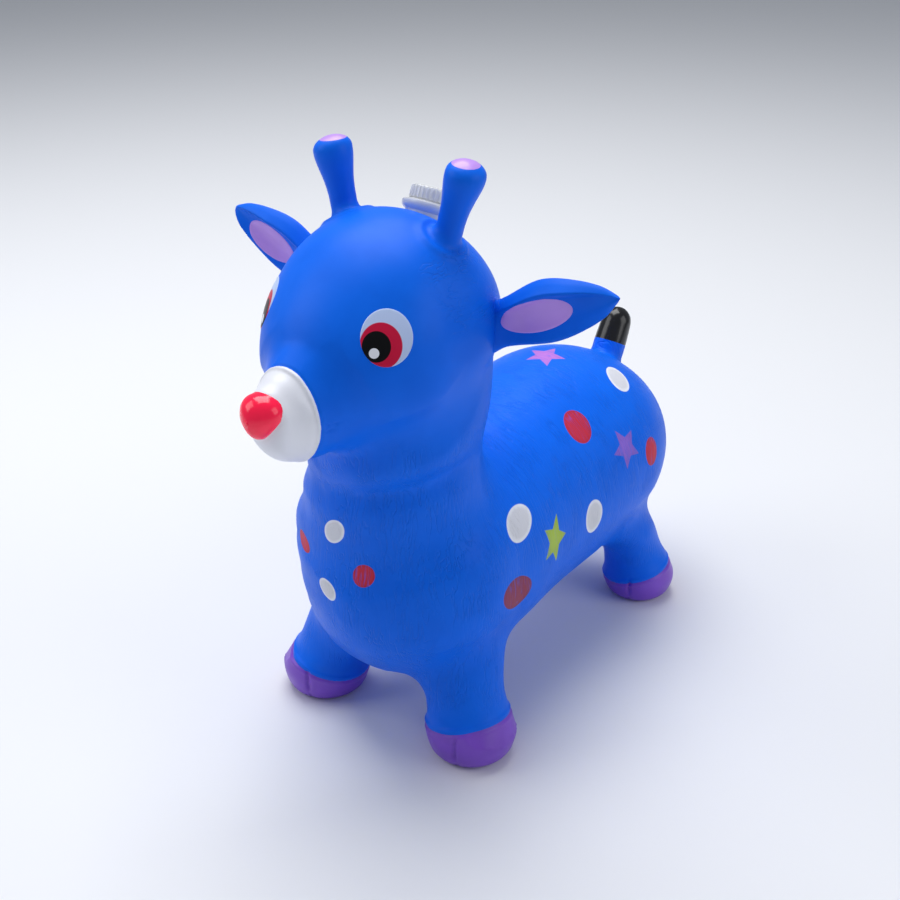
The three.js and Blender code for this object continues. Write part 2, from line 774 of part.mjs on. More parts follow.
// Sounder disc under the holder, and its two leads up to the board
addInside('sounder_disc', rod(boreRadius - fit, sounderBottom, sounderBottom + sounderThickness, 20),
  { color: 0xc9a24a, roughness: 0.35, metalness: 1 });
for (const [name, sign, color] of [['sounder_lead_red', 1, 0xb02020], ['sounder_lead_black', -1, 0x18181a]]) {
  const lead = rod(leadDiameter / 2, holderBottom, boardSeat, 8)
    .translate(sign * leadOffset / 2, leadOffset, 0);
  addInside(name, lead, { color, roughness: 0.5, metalness: 0 });
}
hopper.add(moduleGroup);

export default hopper;
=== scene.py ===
import bpy
import bmesh
import math
from mathutils import Matrix, Vector
from mathutils.bvhtree import BVHTree


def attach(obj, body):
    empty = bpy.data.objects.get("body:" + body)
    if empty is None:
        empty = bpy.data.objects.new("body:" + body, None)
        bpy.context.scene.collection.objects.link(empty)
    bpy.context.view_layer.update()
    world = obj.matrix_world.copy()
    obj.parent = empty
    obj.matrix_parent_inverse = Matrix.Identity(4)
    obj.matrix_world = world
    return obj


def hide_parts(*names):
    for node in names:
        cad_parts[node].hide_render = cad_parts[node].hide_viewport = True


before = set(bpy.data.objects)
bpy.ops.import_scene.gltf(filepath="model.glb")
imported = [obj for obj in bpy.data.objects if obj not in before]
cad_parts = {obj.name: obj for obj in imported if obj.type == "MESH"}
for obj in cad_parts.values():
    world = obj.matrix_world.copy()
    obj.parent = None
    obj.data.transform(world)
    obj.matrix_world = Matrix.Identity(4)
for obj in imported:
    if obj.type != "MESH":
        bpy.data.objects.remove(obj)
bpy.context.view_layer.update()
scene = bpy.context.scene
scene.view_settings.view_transform = "Standard"
mm = 0.001
print("frame loaded:", len(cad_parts), "nodes")


def makeObject(name, data):
    piece = bpy.data.objects.new(name, data)
    scene.collection.objects.link(piece)
    return piece


def meshOf(shape, name):
    mesh = bpy.data.meshes.new(name)
    shape.to_mesh(mesh)
    shape.free()
    return mesh


def pieceOf(shape, name):
    return makeObject(name, meshOf(shape, name))


# Camera, floor and studio light
shot = {
    "place": (611.0, -895.55, 794.0),
    "azimuth": 35.306,
    "elevation": 27.792,
    "lens": 53.645,
    "sensor": 36.0,
    "farClip": 50.0,
}
cameraData = bpy.data.cameras.new("studioCamera")
cameraData.lens = shot["lens"]
cameraData.sensor_width = shot["sensor"]
cameraData.clip_end = shot["farClip"]
camera = makeObject("studioCamera", cameraData)
turnRound = math.radians(shot["azimuth"])
lookDown = math.radians(shot["elevation"])
sightLine = Vector((-math.sin(turnRound) * math.cos(lookDown), math.cos(turnRound) * math.cos(lookDown),
                    -math.sin(lookDown)))
camera.location = Vector(shot["place"]) * mm
camera.rotation_mode = "QUATERNION"
camera.rotation_quaternion = sightLine.to_track_quat("-Z", "Y")
scene.camera = camera

studio = {
    "floorSize": 8.0,
    "floorColour": (0.80, 0.81, 0.84, 1),
    "floorRoughness": 0.6,
    "worldColour": (0.84, 0.90, 1.0, 1),
    "worldStrength": 0.30,
    "lampTarget": (0, 0, 0.25),
    "lamps": [
        # name, place, size, power
        ("topLamp", (-0.7, 0.5, 2.6), 2.0, 64),
        ("keyLamp", (-1.7, -1.2, 1.7), 1.4, 15),
        ("sideLamp", (2.1, 0.5, 1.3), 1.6, 14),
    ],
}


def put(tree, kind, inputs=None, **settings):
    node = tree.nodes.new(kind)
    for key, value in settings.items():
        setattr(node, key, value)
    for key, value in (inputs or {}).items():
        if isinstance(value, bpy.types.NodeSocket):
            tree.links.new(value, node.inputs[key])
        else:
            node.inputs[key].default_value = value
    return node


def sums(tree, operation, *values):
    return put(tree, "ShaderNodeMath", dict(enumerate(values)), operation=operation).outputs[0]


def vectors(tree, operation, *values):
    node = put(tree, "ShaderNodeVectorMath", dict(enumerate(values)), operation=operation)
    return node.outputs["Value" if operation == "DOT_PRODUCT" else "Vector"]


def ramped(tree, value, low, high, outLow=0.0, outHigh=1.0):
    node = put(tree, "ShaderNodeMapRange", {"Value": value, "From Min": low, "From Max": high,
                                            "To Min": outLow, "To Max": outHigh})
    node.interpolation_type = "SMOOTHSTEP"
    return node.outputs["Result"]


def hypotenuse(tree, *sides):
    squares = [sums(tree, "MULTIPLY", side, side) for side in sides]
    return sums(tree, "SQRT", sums(tree, "ADD", *squares))


def blended(tree, factor, under, over):
    return put(tree, "ShaderNodeMix", {0: factor, 6: under, 7: over}, data_type="RGBA").outputs[2]


floorShape = bmesh.new()
bmesh.ops.create_grid(floorShape, x_segments=2, y_segments=2, size=studio["floorSize"])
floor = pieceOf(floorShape, "floor")
floorFinish = bpy.data.materials.new("paleFloor")
floorFinish.use_nodes = True
floorShade = floorFinish.node_tree.nodes["Principled BSDF"]
floorShade.inputs["Base Color"].default_value = studio["floorColour"]
floorShade.inputs["Roughness"].default_value = studio["floorRoughness"]
floor.data.materials.append(floorFinish)

world = bpy.data.worlds.new("studioWorld")
scene.world = world
world.use_nodes = True
worldShade = world.node_tree.nodes["Background"]
worldShade.inputs["Color"].default_value = studio["worldColour"]
worldShade.inputs["Strength"].default_value = studio["worldStrength"]

target = Vector(studio["lampTarget"])
for lampName, place, size, power in studio["lamps"]:
    lampData = bpy.data.lights.new(lampName, "AREA")
    lampData.size = size
    lampData.energy = power
    lamp = makeObject(lampName, lampData)
    lamp.location = place
    lamp.rotation_mode = "QUATERNION"
    lamp.rotation_quaternion = (target - lamp.location).to_track_quat("-Z", "Y")
print("studio ready")

# The skin's forms: oval rings strung along a line, sizes in millimetres. Each station gives how far
# along it is, its top, its bottom, its width and its shift to the side
frontY = -117.35
rearY = 193.65
upward = Vector((0, 0, 1))
backward = Vector((0, 1, 0))
forward = Vector((0, -1, 0))
sidePairs = (("left", 1), ("right", -1))
blunt = 0.008


def lean(degrees, towards):
    angle = math.radians(degrees)
    return upward * math.cos(angle) + Vector(towards) * math.sin(angle)


def laneAt(values, t):
    last = len(values) - 1
    whole = min(int(last * t), last)
    w = last * t - whole
    p0, p1, p2, p3 = (values[max(0, min(whole + k, last))] for k in (-1, 0, 1, 2))
    v0 = (p2 - p0) / 2
    v1 = (p3 - p1) / 2
    return (2 * p1 - 2 * p2 + v0 + v1) * w ** 3 + (-3 * p1 + 3 * p2 - 2 * v0 - v1) * w ** 2 + v0 * w + p1


def ringAt(form, s):
    lanes = list(zip(*form["stations"]))
    first, last = lanes[0][0], lanes[0][-1]
    below, above = 0.0, 1.0
    for _ in range(30):
        guess = (below + above) / 2
        if laneAt(lanes[0], guess) < s:
            below = guess
        else:
            above = guess

    def roundness(depth, radius):
        share = max(depth / radius, blunt) if radius else 1
        return 1 if share >= 1 else math.sqrt(1 - (1 - share) ** 2)

    startRadius, endRadius = form["rounds"]
    ease = roundness(s - first, startRadius) * roundness(last - s, endRadius)
    top, bottom, width, shift = (laneAt(lane, below) for lane in lanes[1:])
    return ease, (top + bottom) / 2, (top - bottom) / 2 * ease, width / 2 * ease, shift


def ringFrame(form, s):
    _, middle, high, wide, shift = ringAt(form, s)
    side = form["up"].cross(form["along"])
    centre = form["origin"] + form["along"] * s + form["up"] * middle + side * shift
    columns = (side * wide * mm, form["up"] * high * mm, form["along"] * mm, centre * mm)
    return Matrix([[c[row] for c in columns] for row in range(3)] + [[0, 0, 0, 1]])


def extruded(shape, edges):
    # draws a loop of edges out and returns the new loop's points and edges
    added = bmesh.ops.extrude_edge_only(shape, edges=edges)["geom"]
    loop = [g for g in added if isinstance(g, bmesh.types.BMVert)]
    inLoop = set(loop)
    return loop, [g for g in added if isinstance(g, bmesh.types.BMEdge) and set(g.verts) <= inLoop]


def loft(shape, form, rings, sides):
    # strings the form's rings into a closed skin and returns each ring's place, frame and points
    first, last = form["stations"][0][0], form["stations"][-1][0]
    places = [first + (last - first) * (1 - math.cos(math.pi * i / (rings - 1))) / 2 for i in range(rings)]
    frames = [ringFrame(form, s) for s in places]
    loop = bmesh.ops.create_circle(shape, cap_ends=True, radius=1, segments=sides, matrix=frames[0])["verts"]
    edges = [e for e in shape.edges if e.verts[0] in loop and e.verts[1] in loop]
    loops = [loop]
    for before, after in zip(frames, frames[1:]):
        loop, edges = extruded(shape, edges)
        bmesh.ops.transform(shape, matrix=after @ before.inverted(), verts=loop)
        loops.append(loop)
    bmesh.ops.contextual_create(shape, geom=edges)
    return list(zip(places, frames, loops))


torsoForm = {
    "origin": Vector(), "along": backward, "up": upward,
    "stations": [
        (frontY - 72, 250, 54, 222, 0),
        (frontY + 20, 252, 52, 222, 0),
        ((frontY + rearY) / 2 - 20, 258, 54, 206, 0),
        (rearY - 60, 266, 58, 218, 0),
        (rearY + 82, 256, 78, 218, 0),
    ],
    "rounds": (92, 128),
}
neckForm = {
    "origin": Vector(), "along": upward, "up": backward,
    "stations": [
        (166, frontY + 120, frontY - 62, 174, 0),
        (262, frontY + 80, frontY - 68, 146, 0),
        (334, frontY + 82, frontY - 78, 165.6, 0),
        (406, frontY + 82, frontY - 62, 161.4, 0),
    ],
    "rounds": (20, 40),
}
headForm = {
    "origin": Vector(), "along": forward, "up": upward,
    "stations": [
        (-(frontY + 92), 464, 324, 176, 0),
        (-(frontY + 10), 479, 306, 180, 0),
        (-(frontY - 40), 471, 304, 180, 0),
        (-(frontY - 113), 443, 314, 170, 0),
    ],
    "rounds": (92, 85),
}
muzzleForm = {
    "origin": Vector(), "along": forward, "up": upward,
    "stations": [
        (53 - frontY, 432, 306, 120, 0),
        (91 - frontY, 417.5, 311.5, 88, 0),
        (111 - frontY, 402.5, 314.5, 69, 0),
        (126 - frontY, 391.5, 318.5, 58, 0),
        (132.9 - frontY, 389, 321, 50, 0),
        (141.4 - frontY, 385, 327, 43, 0),
        (155 - frontY, 382, 343, 36, 0),
    ],
    "rounds": (4, 10),
}
legShape = {
    "track": 83, "topHeight": 118, "soleInset": 22, "soleRound": 6.6, "edgeInset": 7.7, "widestAt": 0.75,
    "coronetAt": 1.2, "coronetInset": 5,
}


def legForm(sign, y, hoof, height, ankle, ankleHeight, top, fullness, splay, inset):
    # share and drift tell how much of the splay and of the inset a ring takes
    def ring(z, diameter, share, drift):
        middle = y + splay * share
        return (z, middle + diameter / 2, middle - diameter / 2, diameter,
                sign * (legShape["track"] - inset * drift))
    topHeight = legShape["topHeight"]
    return {
        "origin": Vector(), "along": upward, "up": backward,
        "stations": [
            ring(0, hoof - legShape["soleInset"], 0, 0),
            ring(legShape["soleRound"], hoof - legShape["edgeInset"], 0, 0),
            ring(height * legShape["widestAt"], hoof, 0, 0),
            ring(height * legShape["coronetAt"], hoof - legShape["coronetInset"], 0.03, 0.03),
            ring(ankleHeight, ankle, 0.08, 0.26),
            ring((ankleHeight + topHeight) / 2, ankle + (top - ankle) * fullness, 0.5, 0.5),
            ring(topHeight, top, 1, 1),
        ],
        "rounds": (0, 30),
    }


frontLeg = {"y": frontY, "hoof": 82, "height": 32, "ankle": 71, "ankleHeight": 46, "top": 100,
            "fullness": 0.4, "splay": 30, "inset": 32}
rearLeg = {"y": rearY, "hoof": 74, "height": 28, "ankle": 63, "ankleHeight": 56, "top": 112,
           "fullness": 0.36, "splay": -44, "inset": 36}
legs = {
    "front_left": (1, frontLeg), "front_right": (-1, frontLeg),
    "rear_left": (1, rearLeg), "rear_right": (-1, rearLeg),
}


def hornForm(sign):
    return {
        "origin": Vector((sign * 48.8, frontY + 11.5, 465)),
        "along": lean(17, Vector((sign, 0.26, 0)).normalized()), "up": backward,
        "stations": [(s, d / 2, -d / 2, d, 0) for s, d in
                     ((-26, 36), (-6, 26), (10.5, 22), (26.7, 24), (46.5, 31.5), (62, 31.5))],
        "rounds": (6, 10),
    }


tailRootY = rearY + 53.7
_, torsoMiddle, torsoHigh, _, _ = ringAt(torsoForm, tailRootY)
tailForm = {
    "origin": Vector((0, tailRootY, torsoMiddle + torsoHigh)),
    "along": lean(30, backward), "up": lean(120, backward),
    "stations": [(s, d / 2, -d / 2, d, 0) for s, d in ((-24, 38), (0, 34), (25, 33), (57, 29))],
    "rounds": (5, 15),
}

skin = {
    "voxel": 2.5, "evenPasses": 3, "creaseAngle": 0.16, "softReach": 14, "softPasses": 120, "rootReach": 3,
    "rootPasses": 14, "foldReach": 9, "foldPasses": 220, "shankPasses": 90,
}


def applied(piece, name):
    piece.update_tag()
    seen = bpy.context.evaluated_depsgraph_get()
    mesh = bpy.data.meshes.new_from_object(piece.evaluated_get(seen))
    mesh.name = name
    bpy.data.objects.remove(piece)
    return mesh


blank = bmesh.new()
loft(blank, torsoForm, 60, 72)
loft(blank, neckForm, 40, 64)
loft(blank, headForm, 50, 64)
loft(blank, muzzleForm, 40, 48)
loft(blank, tailForm, 30, 32)
for sign, leg in legs.values():
    loft(blank, legForm(sign, **leg), 50, 48)
for sign in (1, -1):
    loft(blank, hornForm(sign), 50, 40)
bmesh.ops.recalc_face_normals(blank, faces=blank.faces)
skinBlank = pieceOf(blank, "skinBlank")
remesh = skinBlank.modifiers.new("oneSkin", "REMESH")
remesh.mode = "VOXEL"
remesh.voxel_size = skin["voxel"] * mm
skinMesh = applied(skinBlank, "skinMesh")
print("skin blank:", len(skinMesh.vertices), "points")

# Soft fillets where limbs meet the body
skinShape = bmesh.new()
skinShape.from_mesh(skinMesh)
bpy.data.meshes.remove(skinMesh)


def smoothed(points, passes):
    for _ in range(passes):
        bmesh.ops.smooth_vert(skinShape, verts=points, factor=0.5,
                              use_axis_x=True, use_axis_y=True, use_axis_z=True)


def grown(points, reach):
    points = set(points)
    for _ in range(reach):
        points |= {e.other_vert(v) for v in points for e in v.link_edges}
    return list(points)


# Boxes that hold each region's points: how far aside, along and up
far = 1000
regions = {
    "barrel": (((-1, far), (-150, 225), (44, 352)), ((-1, far), (-238, -150), (44, 440))),
    "roots": (((-1, far), (-150, far), (352, far)), ((-1, far), (225, far), (-far, far))),
    "folds": (((-1, far), (-far, -90), (210, 285)), ((-1, far), (110, far), (55, 155))),
    "shanks": (((34, far), (-far, -50), (46, 118)), ((34, far), (110, far), (46, 118))),
}


def within(region, v):
    place = (abs(v.co.x / mm), v.co.y / mm, v.co.z / mm)
    return any(all(low < c <= high for c, (low, high) in zip(place, box)) for box in regions[region])


def creases(region):
    found = set()
    for edge in skinShape.edges:
        if edge.calc_face_angle_signed(0) < -skin["creaseAngle"]:
            found.update(v for v in edge.verts if within(region, v))
    return found


smoothed(skinShape.verts[:], skin["evenPasses"])
skinShape.normal_update()
barrel = grown(creases("barrel"), skin["softReach"])
roots = grown(creases("roots"), skin["rootReach"])
folds = grown(creases("folds"), skin["foldReach"])
shanks = [v for v in skinShape.verts if within("shanks", v)]
smoothed(barrel, skin["softPasses"])
smoothed(folds, skin["foldPasses"])
smoothed(shanks, skin["shankPasses"])
smoothed(roots, skin["rootPasses"])
print("skin smoothed:", len(barrel) + len(roots), "crease points")


def eased(share):
    share = max(0, min(1, share))
    return share * share * (3 - 2 * share)


def swell(value, low, full, fullEnd, high):
    return eased(min((value - low) / (full - low), (high - value) / (high - fullEnd)))


# Temples and front legs are drawn in; the right shoulder is fuller above and slacker below
drawn = [
    {"sides": (1, -1), "inward": 5.5, "forward": 0, "middle": 40,
     "z": (352, 395, 425, 472), "y": (-236, -206, -150, -95)},
    {"sides": (1, -1), "inward": 5.0, "forward": 0, "middle": 45,
     "z": (34, 95, 165, 212), "y": (-400, -300, -80, -35)},
    {"sides": (-1,), "inward": -7.0, "forward": 5.0, "middle": 75,
     "z": (178, 210, 236, 262), "y": (-400, -300, -100, -50)},
    {"sides": (-1,), "inward": 4.0, "forward": -3.0, "middle": 60,
     "z": (100, 128, 150, 180), "y": (-400, -300, -120, -80)},
]
for v in skinShape.verts:
    place = v.co / mm
    side = 1 if place.x > 0 else -1
    for pull in drawn:
        if side not in pull["sides"]:
            continue
        share = swell(place.z, *pull["z"]) * swell(place.y, *pull["y"])
        share *= min(1, abs(place.x) / pull["middle"])
        v.co.x -= side * pull["inward"] * share * mm
        v.co.y -= pull["forward"] * share * mm


def nearLine(point, line):
    best = 1e9
    for start, end in zip(line, line[1:]):
        run = end - start
        share = max(0, min(1, (point - start).dot(run) / run.length_squared))
        best = min(best, (point - start - run * share).length)
    return best


furrow = {"reach": 4, "fineReach": 2.5, "endDepth": 0.25, "endFade": 3}


def hump(value, middle, width, height=1):
    return height * math.exp(-((value - middle) / width) ** 2)


def groove(shape, line, width, depth, fine=0):
    # a furrow (or, with a negative depth, a ridge) moulded along a line of points in millimetres
    line = [Vector(p) * mm for p in line]
    reach = furrow["reach"] * width
    low = [min(p[k] for p in line) - reach * mm for k in range(3)]
    high = [max(p[k] for p in line) + reach * mm for k in range(3)]

    def close():
        inside = [v for v in shape.verts if all(low[k] < v.co[k] < high[k] for k in range(3))]
        away = {v: nearLine(v.co, line) / mm for v in inside}
        return {v: d for v, d in away.items() if d < reach}
    for _ in range(fine):
        band = {v for v, d in close().items() if d < furrow["fineReach"] * width}
        edges = [e for e in shape.edges if e.verts[0] in band and e.verts[1] in band]
        bmesh.ops.subdivide_edges(shape, edges=edges, cuts=1, use_grid_fill=True)
    shape.normal_update()
    closed = line[0] == line[-1]
    for v, d in close().items():
        ends = min((v.co - line[0]).length, (v.co - line[-1]).length) / mm
        fade = 1 if closed else min(1, furrow["endDepth"] + ends / (furrow["endFade"] * width))
        v.co -= v.normal * (depth * fade * hump(d, 0, width) * mm)


def across(shape, through, facing, reach):
    # cuts the skin along a paint border and returns the faces beyond it
    through = Vector(through) * mm
    local = [f for f in shape.faces if (f.calc_center_median() - through).length < reach * mm]
    geom = set(local)
    for f in local:
        geom.update(f.verts)
        geom.update(f.edges)
    cut = bmesh.ops.bisect_plane(shape, geom=list(geom), dist=1e-6, plane_co=through, plane_no=facing)
    return [g for g in cut["geom"] if isinstance(g, bmesh.types.BMFace)
            and (g.calc_center_median() - through).dot(facing) > 0]


# Moulded detail: horn roots, cheek lines and the fold of the neck
hornRoot = {"radius": 21, "below": 2, "points": 24, "width": 3.0, "height": 2.0}
cheek = {
    "lines": (((32, -234, 352.5), (34, -227, 352), (36, -222, 352.5)),
              ((31, -234, 348.5), (32, -231, 348), (34, -225, 347.5))),
    "width": 1.1, "depth": 1.1,
}
neckFold = {
    "crease": ((-20, -183, 261), (14, -184, 262), (34, -176, 265), (47, -168, 268), (58, -156, 271),
               (67, -140, 275), (73, -121, 278), (73, -102, 279)),
    "width": 12, "depth": 4.2,
    "rollAbove": 28, "rollForward": 2, "rollOut": 1.02, "rollWidth": 17, "rollHeight": 4.5,
}
skinTree = BVHTree.FromBMesh(skinShape)


def onSkin(line):
    return [skinTree.find_nearest(Vector(p) * mm)[0] / mm for p in line]


for sign in (1, -1):
    horn = hornForm(sign)
    hornSide = horn["up"].cross(horn["along"])
    foot = horn["origin"] - horn["along"] * hornRoot["below"]
    angles = [math.tau * k / hornRoot["points"] for k in range(hornRoot["points"] + 1)]
    root = [foot + (hornSide * math.cos(a) + horn["up"] * math.sin(a)) * hornRoot["radius"] for a in angles]
    groove(skinShape, onSkin(root), hornRoot["width"], -hornRoot["height"])
    for line in cheek["lines"]:
        mirrored = [(sign * x, y, z) for x, y, z in line]
        groove(skinShape, onSkin(mirrored), cheek["width"], cheek["depth"], fine=1)
groove(skinShape, onSkin(neckFold["crease"]), neckFold["width"], neckFold["depth"])
neckRoll = [(x * neckFold["rollOut"], y - neckFold["rollForward"], z + neckFold["rollAbove"])
            for x, y, z in neckFold["crease"]]
groove(skinShape, onSkin(neckRoll), neckFold["rollWidth"], -neckFold["rollHeight"])
print("skin detailed:", len(skinShape.verts), "points")

# Paint borders: where they run, which way the painted end lies, and how far it reaches
border = {
    "hoofLean": 0.27, "hoofPitch": 0.12, "hoofReach": 62,
    "muzzlePlace": (0, frontY - 121, 358), "muzzleTilt": 0.03, "muzzleReach": 62,
    "hornAlong": 59, "hornLean": 8, "hornReach": 30, "tailAlong": 19, "tailReach": 60,
}
borders = {}
for corner, (sign, leg) in legs.items():
    pitch = border["hoofPitch"] if leg["splay"] > 0 else -border["hoofPitch"]
    facing = -Vector((-sign * border["hoofLean"], pitch, 1)).normalized()
    through = (sign * legShape["track"], leg["y"], leg["height"])
    borders["hoof_" + corner] = (through, facing, border["hoofReach"])
muzzleward = Vector((0, -1, -border["muzzleTilt"])).normalized()
borders["muzzle"] = (border["muzzlePlace"], muzzleward, border["muzzleReach"])
for label, sign in sidePairs:
    horn = hornForm(sign)
    borders["horn_tip_" + label] = (horn["origin"] + horn["along"] * border["hornAlong"],
                                    lean(border["hornLean"], (sign, 0, 0)), border["hornReach"])
borders["tail_tip"] = (tailForm["origin"] + tailForm["along"] * border["tailAlong"], tailForm["along"],
                       border["tailReach"])


def nearBorder(name, belt):
    # makes the skin finer along a paint border, and returns its points with how far past it they lie
    through, facing, reach = borders[name]
    start = Vector(through) * mm
    edges = [e for e in skinShape.edges if all((v.co - start).length < reach * mm
             and abs((v.co - start).dot(facing)) < belt * mm for v in e.verts)]
    bmesh.ops.subdivide_edges(skinShape, edges=edges, cuts=1, use_grid_fill=True)
    skinShape.normal_update()
    near = [v for v in skinShape.verts if (v.co - start).length < reach * mm]
    return [(v, (v.co - start).dot(facing) / mm) for v in near]


# Hooves: a bead above the border, a rim below it, and toe and heel lines. Beads, rims and grooves
# have a middle, a width and a height across the border
borderGroove = (0, 0.9, -0.7)
hoofEdge = {
    "belt": 9, "bead": (-3.2, 1.5, 1.0), "rim": (2.6, 1.4, 0.5),
    "toeTurn": 13, "toeAbove": 3, "heelTurn": 112, "heelTop": 13, "lineWidth": 1.7, "lineDepth": 2.8,
    "lineFoot": ((7, 1), (0, 9)), "lineTopInset": 2,
}
for corner, (sign, leg) in legs.items():
    for v, past in nearBorder("hoof_" + corner, hoofEdge["belt"]):
        relief = hump(past, *hoofEdge["bead"]) + hump(past, *hoofEdge["rim"]) + hump(past, *borderGroove)
        v.co += v.normal * (relief * mm)
    middle = Vector((sign * legShape["track"], leg["y"], 0))
    toeTop = leg["height"] + hoofEdge["toeAbove"]
    heelTurn = sign * hoofEdge["heelTurn"]
    for degrees, top in ((hoofEdge["toeTurn"], toeTop), (heelTurn, hoofEdge["heelTop"])):
        turn = math.radians(degrees)
        outward = Vector((math.sin(turn), -math.cos(turn), 0))
        stops = (*hoofEdge["lineFoot"], (hoofEdge["lineTopInset"], top))
        toe = [middle + outward * (leg["hoof"] / 2 - inset) + upward * height for inset, height in stops]
        groove(skinShape, toe, hoofEdge["lineWidth"], hoofEdge["lineDepth"], fine=1)

muzzleEdge = {"belt": 7, "rim": (1.8, 1.3, 1.1)}
for v, past in nearBorder("muzzle", muzzleEdge["belt"]):
    v.co += v.normal * ((hump(past, *muzzleEdge["rim"]) + hump(past, *borderGroove)) * mm)
print("borders moulded:", len(skinShape.verts), "points")

# The crown's pocket for the module and the belly's valve bore
moduleLean = 28
module = {"origin": Vector((0, -66.913, 458.308)), "axis": lean(moduleLean, backward), "pocket": 15.3,
          "depth": 26.3, "land": 18.6, "blend": 27}
valve = {"origin": Vector((0, 38.15, 53.4)), "axis": Vector((0, 0, -1)), "pocket": 4.8, "depth": 20,
         "land": 9.5, "blend": 15}
landReach = 25
cutReach = 4
rimReach = 1.5
for socket in (module, valve):
    start = socket["origin"] * mm
    axis = socket["axis"]

    def split(point):
        offset = (point - start) / mm
        height = offset.dot(axis)
        return height, offset - axis * height
    for v in skinShape.verts:
        height, flat = split(v.co)
        if flat.length < socket["blend"] and abs(height) < landReach:
            share = eased((socket["blend"] - flat.length) / (socket["blend"] - socket["land"]))
            v.co -= axis * (height * share * mm)
    doomed = []
    for f in skinShape.faces:
        height, flat = split(f.calc_center_median())
        if flat.length < socket["pocket"] and abs(height) < cutReach:
            doomed.append(f)
    bmesh.ops.delete(skinShape, geom=doomed, context="FACES")
    rim = [e for e in skinShape.edges if e.is_boundary
           and ((e.verts[0].co - start) / mm).length < socket["pocket"] * rimReach]
    for v in {v for e in rim for v in e.verts}:
        _, flat = split(v.co)
        v.co = start + flat.normalized() * socket["pocket"] * mm
    floorLoop, floorEdges = extruded(skinShape, rim)
    bmesh.ops.translate(skinShape, vec=-axis * socket["depth"] * mm, verts=floorLoop)
    bmesh.ops.contextual_create(skinShape, geom=floorEdges)
print("pockets cut")

zone = skinShape.faces.layers.int.new("zone")
neckLine = 300
names = ["body", "head"]
for name, (through, facing, reach) in borders.items():
    names.append(name)
    for f in across(skinShape, through, facing, reach):
        f[zone] = len(names) - 1
bmesh.ops.bisect_plane(skinShape, geom=skinShape.verts[:] + skinShape.edges[:] + skinShape.faces[:],
                       dist=1e-6, plane_co=(0, 0, neckLine * mm), plane_no=upward)
for f in skinShape.faces:
    if f[zone] == 0 and f.calc_center_median().z > neckLine * mm:
        f[zone] = 1
skinShape.normal_update()
softNormal = skinShape.verts.layers.float_vector.new("softNormal")
for v in skinShape.verts:
    v[softNormal] = v.normal
skinTree = BVHTree.FromBMesh(skinShape)
print("skin zoned:", len(names), "zones")

# Finishes
finishes = {
    "blue": (0.003, 0.148, 0.88, 1), "blueDeep": (0.002, 0.136, 0.83, 1),
    "white": (0.84, 0.855, 0.93, 1), "eyeWhite": (0.52, 0.64, 0.93, 1),
    # the darker red is the same red paint with painted shade on it
    "red": (0.52, 0.03, 0.06, 1), "dullRed": (0.25, 0.04, 0.08, 1),
    "green": (0.38, 0.52, 0.07, 1), "pink": (0.47, 0.18, 0.64, 1),
    "violet": (0.26, 0.14, 0.64, 1), "purple": (0.21, 0.066, 0.6, 1),
    "lilac": (0.56, 0.31, 0.9, 1), "black": (0.006, 0.006, 0.007, 1),
    "crimson": (0.6, 0.012, 0.055, 1), "noseRed": (0.95, 0.008, 0.06, 1),
}


def newGroup(name, inputs, outputs):
    tree = bpy.data.node_groups.new(name, "ShaderNodeTree")
    for label, kind in inputs:
        tree.interface.new_socket(label, in_out="INPUT", socket_type="NodeSocket" + kind)
    for label, kind in outputs:
        tree.interface.new_socket(label, in_out="OUTPUT", socket_type="NodeSocket" + kind)
    return tree, tree.nodes.new("NodeGroupInput").outputs, tree.nodes.new("NodeGroupOutput").inputs


# Paint or moulded plastic: faint cloudiness in colour, sheen and surface
filmTree, given, result = newGroup(
    "paintFilm", [("Point", "Vector"), ("Colour", "Color"), ("Deep", "Color"), ("Sheen", "Float")],
    [("Colour", "Color"), ("Roughness", "Float"), ("Height", "Float")])
clouds = put(filmTree, "ShaderNodeTexNoise", {"Vector": given["Point"], "Scale": 24.0, "Detail": 3.0})
grain = put(filmTree, "ShaderNodeTexNoise", {"Vector": given["Point"], "Scale": 900.0, "Detail": 2.0})
cloudy = ramped(filmTree, clouds.outputs[0], 0.35, 0.7)
filmTree.links.new(blended(filmTree, cloudy, given["Colour"], given["Deep"]), result["Colour"])
wear = sums(filmTree, "MULTIPLY_ADD", clouds.outputs[0], 0.14, -0.07)
filmTree.links.new(sums(filmTree, "ADD", given["Sheen"], wear), result["Roughness"])
filmTree.links.new(sums(filmTree, "MULTIPLY", grain.outputs[0], 0.12), result["Height"])

# Short moulded hair strokes: upright on chest and legs, round the barrel, slanting on the head
stroke = {
    # cell sizes along the strokes and across them
    "upright": (4.2, 4.2, 34), "roundBarrel": (34, 4.2, 1), "slanting": (5, 16, 5), "wander": (9, 9, 9),
    "barrelHeight": 150, "barrelRadius": 95, "behindHornShare": 0.9,
    # where each zone fades in, in millimetres
    "backUp": (120, 150), "backAlong": (-130, -90), "headUp": (300, 335), "hoofUp": (36, 60),
    "hornUp": (398, 416), "hornDown": (470, 452), "hornAside": (48, 62), "hornAlong": (-160, -140),
    "earAside": (96, 86),
}
hairTree, given, result = newGroup("hairStrokes", [("Point", "Vector")], [("Height", "Float")])
millimetres = vectors(hairTree, "MULTIPLY", given["Point"], (1000, 1000, 1000))
wander = put(hairTree, "ShaderNodeTexNoise", {"Vector": given["Point"], "Scale": 28.0, "Detail": 1.0})
sway = vectors(hairTree, "MULTIPLY_ADD", wander.outputs["Color"], stroke["wander"], millimetres)
place = put(hairTree, "ShaderNodeSeparateXYZ", {0: millimetres}).outputs


